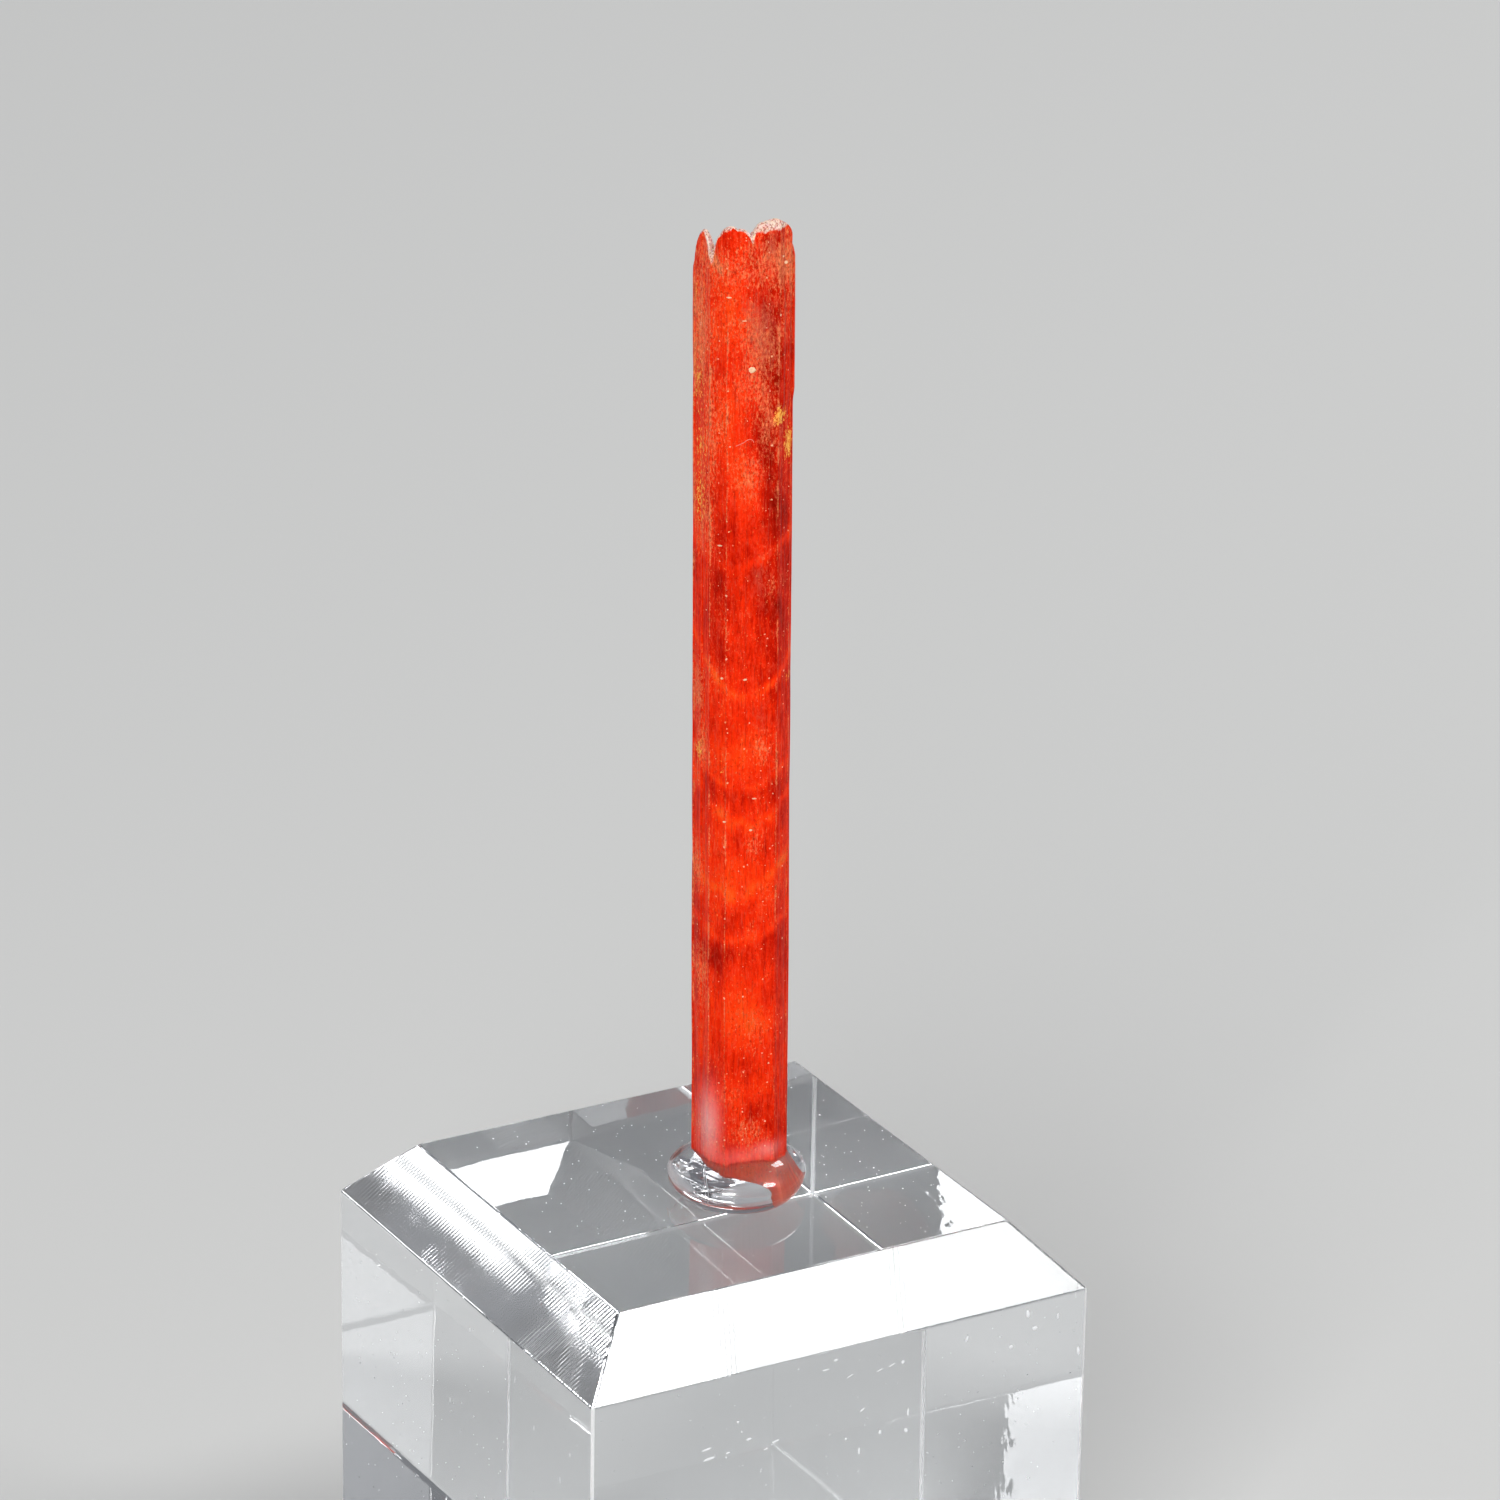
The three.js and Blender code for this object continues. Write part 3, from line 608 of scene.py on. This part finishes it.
def dustMaterial(name, deep, pale):
    # mineral dust and lint: dry and chalky, with no shine of its own
    material, tree = newMaterial(name)
    place = addNode(tree, "TexCoord").outputs["Object"]
    mottle = addNode(tree, "TexNoise", {"Vector": place, "Scale": 1 / (dryDust["mottleSize"] * mm)})
    colour = addNode(tree, "Mix", {
        "Factor": mottle, "A": toLinear(deep), "B": toLinear(pale)}, data_type="RGBA")
    surface = addNode(tree, "BsdfPrincipled", {"Base Color": colour, "Roughness": dryDust["roughness"]})
    addNode(tree, "OutputMaterial", {"Surface": surface})
    return material


# specks on the crystal's front: across, back, height, half-length, half-width
crystalSpecks = dict(
    specks=[
        (0.4, -1.79, 39.93, 0.16, 0.14), (1.84, -1.04, 44.6, 0.1, 0.08), (1.7, -1.14, 44.9, 0.08, 0.06),
        (-0.85, -2.02, 25.7, 0.06, 0.05), (0.16, -1.87, 25.6, 0.11, 0.05), (0.45, -1.78, 18.4, 0.08, 0.05),
        (-0.72, -2.08, 18.9, 0.07, 0.05), (0.6, -1.74, 19.9, 0.12, 0.03), (-0.6, -2.08, 43.3, 0.12, 0.04),
        (0.05, -1.91, 42.2, 0.14, 0.03), (1.62, -1.3, 42.3, 0.05, 0.09), (-0.95, -1.98, 31.9, 0.11, 0.04),
    ],
    thick=0.05, seed=4, deep="#E0A080", pale="#FFE4B4",
    fanOut=0.4,  # how much the front's normals spread to the sides
    # a lint fibre: across and height of the points it bends through, its radius, how far it stands off
    fibre=[
        (-0.28, 36.52), (-0.1, 36.58), (0.06, 36.64), (0.2, 36.75), (0.34, 36.79), (0.46, 36.73),
        (0.5, 36.62),
    ],
    fibreRadius=0.017, fibreStandOff=0.045, fibreTone=("#DE6A52", "#F0907A"),
    fibreSteps=36, fibreSmoothing=8, fibreSides=6,
)


def crystalDust():
    # a lump at each speck, its thin way along the front's normal, and the fibre
    spots = np.array(crystalSpecks["specks"])
    middles = spots[:, :3]
    outward = middles * [crystalSpecks["fanOut"], 1, 0]
    outward /= np.linalg.norm(outward, axis=1)[:, None]
    sideways = np.stack([-outward[:, 1], outward[:, 0], 0 * outward[:, 2]], -1)
    long, wide, thick = spots[:, 3], spots[:, 4], crystalSpecks["thick"]
    specks = lumps(middles, outward, sideways, long, wide, thick, crystalSpecks["seed"])
    return joinParts([specks, fibreTube()])


def fibreTube():
    # a small circle carried along a smooth curve through the fibre's points, on the crystal's front
    bends = np.array(crystalSpecks["fibre"])
    share = np.linspace(0, len(bends) - 1, crystalSpecks["fibreSteps"])
    path = np.stack([np.interp(share, np.arange(len(bends)), bends[:, k]) for k in (0, 1)], -1)
    for _ in range(crystalSpecks["fibreSmoothing"]):
        path[1:-1] = (path[:-2] + 2 * path[1:-1] + path[2:]) / 4
    outline = prismOutline()[0]
    front = outline[outline[:, 1] < 0]
    front = front[np.argsort(front[:, 0])]
    depth = np.interp(path[:, 0], front[:, 0], front[:, 1]) - crystalSpecks["fibreStandOff"]
    turn = np.arange(crystalSpecks["fibreSides"]) / crystalSpecks["fibreSides"] * 2 * math.pi
    ahead = np.gradient(path, axis=0)
    ahead /= np.linalg.norm(ahead, axis=1)[:, None]
    radius = crystalSpecks["fibreRadius"]
    x = path[:, :1] - radius * ahead[:, 1:] * np.cos(turn)
    z = path[:, 1:] + radius * ahead[:, :1] * np.cos(turn)
    y = depth[:, None] + radius * np.sin(turn)
    rings = np.stack([x, y, z], -1).reshape(-1, 3)
    ends = np.column_stack([path[[-1, 0], 0], depth[[-1, 0]], path[[-1, 0], 1]])
    return np.concatenate([rings, ends]), closedFaces(len(path), len(turn))


def makeCrystal():
    # the grown surface and its dust in one mesh, each point with its own place and pattern strengths
    top = (crystalHigh.z - blockHigh.z) / mm
    own, faces, fields = crystalSurface(top)
    dustPoints, dustFaces, dustSlots = crystalDust()
    points, allFaces = joinParts([(own, faces), (dustPoints, dustFaces)])[:2]
    slots = np.append(np.zeros(len(faces), int), dustSlots + 1)
    materials = [
        crocoiteMaterial(),
        dustMaterial("mineral_dust_dry", crystalSpecks["deep"], crystalSpecks["pale"]),
        dustMaterial("lint_fibre_thin", *crystalSpecks["fibreTone"]),
    ]
    smooth = slots == 0
    piece = newPiece("crocoite_crystal_natural", placeOnBlock(points), allFaces, materials, smooth, slots)
    piece.data.attributes.new("ownPlace", "FLOAT_VECTOR", "POINT").data.foreach_set("vector", points.ravel())
    for name, values in fields.items():
        values = np.concatenate([values, np.zeros(len(dustPoints))])
        piece.data.attributes.new(name, "FLOAT", "POINT").data.foreach_set("value", values)
    standFor(piece, "crocoite_crystal")
    print("crystal made:", len(allFaces), "faces")


makeCrystal()

bead = dict(
    radius=3.15, widest=1.0, belly=1.64, shoulder=1.33,  # the level and half-heights of its drop shape
    sunk=0.04,  # how far it wets into the block's face, so no film of air lies between them
    unevenness=0.012, waves=[(3, 0.6, 1), (5, 2, 0.6)],  # waves round it: count, shift, share
    rippleSize=1.6, rippleDepth=0.03, around=192, rows=96,
    tint="#FAFAFD", index=1.49, sheen=0.8, sheenGloss=0.4,
)


def beadMaterial():
    # clear adhesive, set as a poured drop: glass-like, with faint ripples where it pulled as it set,
    # and a skin that cured slightly dull, which lays a soft veil round each sharp highlight
    material, tree = newMaterial("clear_adhesive_set_drop")
    place = addNode(tree, "TexCoord").outputs["Object"]
    ripples = addNode(tree, "TexNoise", {
        "Vector": place, "Scale": 1 / (bead["rippleSize"] * mm), "Detail": 0})
    bump = addNode(tree, "Bump", {"Height": ripples, "Distance": bead["rippleDepth"] * mm})
    surface = addNode(tree, "BsdfPrincipled", {
        "Base Color": toLinear(bead["tint"]),
        "Roughness": 0.0,
        "IOR": bead["index"],
        "Transmission Weight": 1.0,
        "Coat Weight": bead["sheen"],
        "Coat Roughness": bead["sheenGloss"],
        "Normal": bump,
    })
    addNode(tree, "OutputMaterial", {"Surface": surface})
    return material


def makeBead():
    # a drop turned about its axis: an ellipse below its widest level, a flatter one above, slightly uneven
    start = math.acos((bead["widest"] + bead["sunk"]) / bead["belly"])
    angle = np.linspace(start, math.pi, bead["rows"] + 1)[:-1, None]
    turn = np.arange(bead["around"]) / bead["around"] * 2 * math.pi
    waves = [share * np.sin(count * turn + shift) for count, shift, share in bead["waves"]]
    reach = 1 + bead["unevenness"] * sum(waves)
    radius = bead["radius"] * np.sin(angle) * reach
    halfHeight = np.where(angle < math.pi / 2, bead["belly"], bead["shoulder"])
    level = bead["widest"] - halfHeight * np.cos(angle) + 0 * turn
    points = np.stack([radius * np.cos(turn), radius * np.sin(turn), level], -1).reshape(-1, 3)
    poles = [[0, 0, bead["widest"] + bead["shoulder"]], [0, 0, -bead["sunk"]]]
    points = np.concatenate([points, poles]) * mm + np.array([beadCentre.x, beadCentre.y, blockHigh.z])
    faces = closedFaces(bead["rows"], bead["around"])
    shade = np.ones(len(faces))
    piece = newPiece("adhesive_bead_clear", points, faces, [beadMaterial()], shade, 0 * shade)
    standFor(piece, "adhesive_bead")
    print("bead made:", len(faces), "faces")


makeBead()

block = dict(
    bevelInset=2.7, bevelDrop=2.9, footCut=0.2, ridgeRound=0.07, wallEdgeRound=0.12,
    roundSteps=4, cornerSteps=4,
    tint="#F9FBFD", index=1.49, gloss=0.0, wallRipple=0.002, wallRippleSize=2.4, fineDetail=2,
    toolMarkSpacing=0.22, toolMarkSlant=0.4, toolMarkDepth=0.003, toolMarkGloss=0.06,
    toolMarkWaver=1.2, toolMarkDetailScale=0.6,
    # the scraped edges: colour, size of the scraper's chatter, roughness from and to, how clear
    edgeTint="#FFFFFF", edgeChatter=0.5, edgeRoughness=(0.35, 0.6), edgeClear=0.45,
    # dust on the front and left walls: along the wall, height, half-length, half-width, lean in degrees
    frontDust=[
        (-6.99, 17.73, 0.26, 0.06, 8), (-6.84, 17.24, 0.3, 0.07, 6), (-5.87, 17.3, 0.12, 0.05, 10),
        (-4.81, 17.74, 0.16, 0.05, 0), (-3.93, 17.03, 0.12, 0.04, 10), (-3.43, 17.31, 0.2, 0.05, 12),
        (-0.94, 20.24, 0.18, 0.04, 0), (-0.44, 20.61, 0.12, 0.05, 8), (0.31, 19.64, 0.2, 0.03, 20),
        (0.97, 17.79, 0.16, 0.05, 30), (1.85, 19.57, 0.2, 0.03, 15), (2.47, 19.68, 0.2, 0.03, 20),
        (3.04, 19.69, 0.09, 0.09, 0), (0.17, 16.53, 0.07, 0.07, 0), (0.87, 15.76, 0.05, 0.16, 0),
        (1.93, 16.45, 0.08, 0.1, 0), (3.29, 16.22, 0.1, 0.14, 30), (3.37, 17.11, 0.06, 0.2, 0),
        (6.36, 20.06, 0.05, 0.14, -20), (8.7, 19.11, 0.1, 0.08, 0), (9.55, 20.57, 0.09, 0.2, 15),
        (9.94, 19.77, 0.14, 0.1, 0), (11.15, 20.09, 0.04, 0.14, 0), (12.3, 18.08, 0.06, 0.26, 10),
        (-5.39, 18.72, 0.08, 0.05, -30),
    ],
    leftDust=[
        (-6.98, 17.69, 0.04, 0.16, 0), (-5.15, 19.24, 0.03, 0.2, 8), (-10.38, 17.93, 0.05, 0.12, 0),
        (-9.46, 16.26, 0.04, 0.18, -5), (-0.79, 19.76, 0.04, 0.1, 0), (1.19, 15.33, 0.04, 0.16, 0),
    ],
    fineDust=105, fineDustSize=(0.012, 0.045),  # grains on each wall and on the top, and their half-sizes
    # share of a wall's width that they cover, and their clearance from the foot, the bevel and the top's rim
    dustSpan=0.97, dustAboveFoot=0.5, dustBelowBevel=0.3, dustFromRim=0.2,
    dustSeed=8, dustThick=0.012, dustTones=("#D4D6DA", "#FFFFFF"),
)


def acrylicMaterial(name, milled):
    # cast acrylic, flame- and buff-polished walls: clear as water with a faint ripple;
    # the bevels are fly-cut, so fine slanting tool marks break up what shines in them
    material, tree = newMaterial(name)
    if milled:
        place = addNode(tree, "UVMap", uv_map="bevelPlace")
        slanted = addNode(tree, "Mapping", {
            "Vector": place, "Rotation": (0, 0, math.atan(block["toolMarkSlant"]))})
        bandWidth = 2 * math.pi / 20  # of one wave band at scale 1
        height = addNode(tree, "TexWave", {
            "Vector": slanted, "Scale": bandWidth / block["toolMarkSpacing"],
            "Distortion": block["toolMarkWaver"], "Detail": block["fineDetail"],
            "Detail Scale": block["toolMarkDetailScale"]})
        depth, gloss = block["toolMarkDepth"], block["toolMarkGloss"]
    else:
        place = addNode(tree, "TexCoord").outputs["Object"]
        height = addNode(tree, "TexNoise", {
            "Vector": place, "Scale": 1 / (block["wallRippleSize"] * mm), "Detail": block["fineDetail"]})
        depth, gloss = block["wallRipple"], block["gloss"]
    bump = addNode(tree, "Bump", {"Height": height, "Distance": depth * mm})
    surface = addNode(tree, "BsdfPrincipled", {
        "Base Color": toLinear(block["tint"]),
        "Roughness": gloss,
        "IOR": block["index"],
        "Transmission Weight": 1.0,
        "Normal": bump,
    })
    addNode(tree, "OutputMaterial", {"Surface": surface})
    return material


def scrapedMaterial():
    # cast acrylic with its sharp edge scraped off: a hair-fine frosted strip that catches light as a
    # pale line
    material, tree = newMaterial("cast_acrylic_scraped_edge")
    place = addNode(tree, "TexCoord").outputs["Object"]
    chatter = addNode(tree, "TexNoise", {
        "Vector": place, "Scale": 1 / (block["edgeChatter"] * mm), "Detail": block["fineDetail"]})
    smoothest, roughest = block["edgeRoughness"]
    roughness = addNode(tree, "MapRange", {"Value": chatter, "To Min": smoothest, "To Max": roughest})
    surface = addNode(tree, "BsdfPrincipled", {
        "Base Color": toLinear(block["edgeTint"]),
        "Roughness": roughness,
        "IOR": block["index"],
        "Transmission Weight": block["edgeClear"],
    })
    addNode(tree, "OutputMaterial", {"Surface": surface})
    return material


def roundedProfile(corners, radius, steps):
    # each inner corner gives way to a short curve: the weighted mean of the corner and two points beside it
    corners = np.array(corners, float)
    share = np.linspace(0, 1, steps + 1)[:, None]
    points = [corners[:1]]
    for before, corner, after in zip(corners[:-2], corners[1:-1], corners[2:]):
        start = corner + (before - corner) * radius / np.linalg.norm(before - corner)
        end = corner + (after - corner) * radius / np.linalg.norm(after - corner)
        points.append(start * (1 - share) ** 2 + 2 * corner * share * (1 - share) + end * share ** 2)
    points.append(corners[-1:])
    return np.concatenate(points)


def blockSurface():
    # a profile of inset and height carried round a rectangle whose corners are small arcs
    half = np.array([blockHigh.x, blockHigh.y]) / mm
    tall = blockHigh.z / mm
    inset, drop, cut = block["bevelInset"], block["bevelDrop"], block["footCut"]
    profile = roundedProfile(
        [(cut, 0), (0, cut), (0, tall - drop), (inset, tall), (2 * inset, tall)],
        block["ridgeRound"], block["roundSteps"])[:-1]
    turn = np.linspace(0, 1, block["cornerSteps"] + 1)
    quarter = np.arange(4)[:, None]
    angle = ((quarter + turn) * math.pi / 2).ravel()
    sideX = np.repeat([1, -1, -1, 1], block["cornerSteps"] + 1)
    sideY = np.repeat([1, 1, -1, -1], block["cornerSteps"] + 1)
    radius = block["wallEdgeRound"]
    reach = half - radius - profile[:, :1]
    x = sideX * reach[:, :1] + radius * np.cos(angle)
    y = sideY * reach[:, 1:] + radius * np.sin(angle)
    z = profile[:, 1:] + 0 * x
    around, rows = len(angle), len(profile)
    faces = ringFaces(rows, around)
    bevelRow = np.argmax(np.linalg.norm(np.diff(profile[rows // 2:], axis=0), axis=1)) + rows // 2
    faces += [list(range(around))[::-1], list(range((rows - 1) * around, rows * around))]
    # material numbers: 0 polished, 1 fly-cut bevel, 2 scraped upright edge
    slots = np.zeros((rows - 1, around), int)
    slots[bevelRow] = 1
    slots[:bevelRow] = 2 * (np.arange(around) % (block["cornerSteps"] + 1) < block["cornerSteps"])
    return np.stack([x, y, z], -1).reshape(-1, 3), faces, np.append(slots.ravel(), [0, 0])


def wallDust():
    # grains scattered over each wall and the top; a wall is given by its outward normal
    half = np.array([blockHigh.x, blockHigh.y, 0]) / mm
    up = np.array([0, 0, 1.0])
    thick, seed, count, cover = block["dustThick"], block["dustSeed"], block["fineDust"], block["dustSpan"]
    dice = np.random.default_rng(seed)
    lowest, highest = block["dustAboveFoot"], blockHigh.z / mm - block["bevelDrop"] - block["dustBelowBevel"]
    front, left, right, back = (0, -1, 0), (-1, 0, 0), (1, 0, 0), (0, 1, 0)
    walls = [(front, block["frontDust"]), (left, block["leftDust"]), (right, []), (back, [])]
    parts = []
    for normal, marked in walls:
        sideways = np.abs([normal[1], normal[0], 0])
        size = dice.uniform(*block["fineDustSize"], (count, 2))
        loose = np.column_stack([
            dice.uniform(-cover, cover, count) * (sideways @ half), dice.uniform(lowest, highest, count),
            size, dice.uniform(-90, 90, count)])
        spots = np.concatenate([np.array(marked).reshape(-1, 5), loose])
        middles = sideways * spots[:, :1] + normal * half + up * spots[:, 1:2]
        lean = np.radians(spots[:, 4:5])
        along = sideways * np.cos(lean) + up * np.sin(lean)
        parts.append(lumps(middles, normal, along, spots[:, 2], spots[:, 3], thick, seed))
    rim = half[:2] - block["bevelInset"] - block["dustFromRim"]
    middles = np.column_stack([
        dice.uniform(-1, 1, count) * rim[0], dice.uniform(-1, 1, count) * rim[1],
        np.full(count, blockHigh.z / mm)])
    heading = dice.uniform(0, math.pi, count)
    along = np.column_stack([np.cos(heading), np.sin(heading), 0 * heading])
    size = dice.uniform(*block["fineDustSize"], (count, 2))
    parts.append(lumps(middles, up, along, size[:, 0], size[:, 1], thick, seed))
    return joinParts(parts)[:2]


def makeBlock():
    # the block's surface and its dust in one mesh, each kind of surface with its own material
    points, faces, faceSlots = blockSurface()
    dustPoints, dustFaces = wallDust()
    points, allFaces, owner = joinParts([(points, faces), (dustPoints, dustFaces)])
    materials = [
        acrylicMaterial("cast_acrylic_polished", False), acrylicMaterial("cast_acrylic_fly_cut_bevel", True),
        scrapedMaterial(), dustMaterial("house_dust_dry", *block["dustTones"]),
    ]
    slots = np.append(faceSlots, np.full(len(dustFaces), len(materials) - 1))
    piece = newPiece("acrylic_block_clear", points * mm, allFaces, materials, np.zeros(len(allFaces)), slots)
    # a bevel's own place: along its edge and up its slope
    mesh = piece.data
    normals = np.empty(len(mesh.polygons) * 3)
    mesh.polygons.foreach_get("normal", normals)
    totals = np.empty(len(mesh.polygons), np.int32)
    mesh.polygons.foreach_get("loop_total", totals)
    corner = np.empty(len(mesh.loops), np.int32)
    mesh.loops.foreach_get("vertex_index", corner)
    flat = normals.reshape(-1, 3)[:, :2]
    flat = flat / np.maximum(np.linalg.norm(flat, axis=1), 1e-9)[:, None]
    sideways = np.repeat(np.stack([-flat[:, 1], flat[:, 0]], -1), totals, axis=0)
    edgePlace = np.einsum("ij,ij->i", points[corner][:, :2], sideways)
    place = np.stack([edgePlace, points[corner][:, 2]], -1)
    mesh.uv_layers.new(name="bevelPlace").data.foreach_set("uv", place.ravel())
    standFor(piece, "acrylic_block")
    print("block made:", len(allFaces), "faces")


makeBlock()

studio = dict(
    floorHalf=1500, floorDrop=0.02, floorColour="#CFCFCD", floorRoughness=0.9, floorShine=0.2,
    ambient="#C8CCD4", ambientStrength=0.28,
    # softboxes: shape, direction across, back and up, width, height, watts
    lights=dict(
        keySoftbox=("ELLIPSE", (0.459, -0.427, 0.772), 230, 230, 2.2),
        backSoftbox=("RECTANGLE", (0.569, 0.492, 0.66), 300, 160, 1.4),
        rimSoftbox=("RECTANGLE", (-0.404, 0.805, 0.428), 420, 300, 0.7),
        frontSoftbox=("RECTANGLE", (-0.66, -0.70, 0.42), 260, 260, 3.4),
    ),
    lightDistance=700, aimHeight=28, bounces=24,
)


def makeStudio():
    # a square of pale paper, an even world, and softboxes that all face one aim point over the block
    half = studio["floorHalf"]
    corners = np.array([[-half, -half], [half, -half], [half, half], [-half, half]])
    points = np.column_stack([corners, np.full(4, -studio["floorDrop"])]) * mm
    material, tree = newMaterial("matte_paper")
    surface = addNode(tree, "BsdfPrincipled", {
        "Base Color": toLinear(studio["floorColour"]), "Roughness": studio["floorRoughness"],
        "Specular IOR Level": studio["floorShine"]})
    addNode(tree, "OutputMaterial", {"Surface": surface})
    newPiece("floor", points, [[0, 1, 2, 3]], [material], [False], [0])
    world = bpy.data.worlds.new("studio")
    world.use_nodes = True
    background = world.node_tree.nodes["Background"]
    background.inputs["Color"].default_value = toLinear(studio["ambient"])
    background.inputs["Strength"].default_value = studio["ambientStrength"]
    scene.world = world
    aim = Vector((0, 0, studio["aimHeight"] * mm))
    for name, (shape, direction, width, height, watts) in studio["lights"].items():
        data = bpy.data.lights.new(name, "AREA")
        data.shape = shape
        data.size = width * mm
        data.size_y = height * mm
        data.energy = watts
        toLight = Vector(direction).normalized()
        lamp = bpy.data.objects.new(name, data)
        turned = toLight.to_track_quat("Z", "Y").to_matrix().to_4x4()
        lamp.matrix_world = Matrix.Translation(aim + toLight * studio["lightDistance"] * mm) @ turned
        scene.collection.objects.link(lamp)
    scene.view_settings.view_transform = "Standard"
    # light crosses the clear block's faces many times before it comes out
    scene.cycles.max_bounces = studio["bounces"]
    scene.cycles.transmission_bounces = studio["bounces"]
    scene.cycles.glossy_bounces = studio["bounces"]
    print("studio lit")


makeStudio()
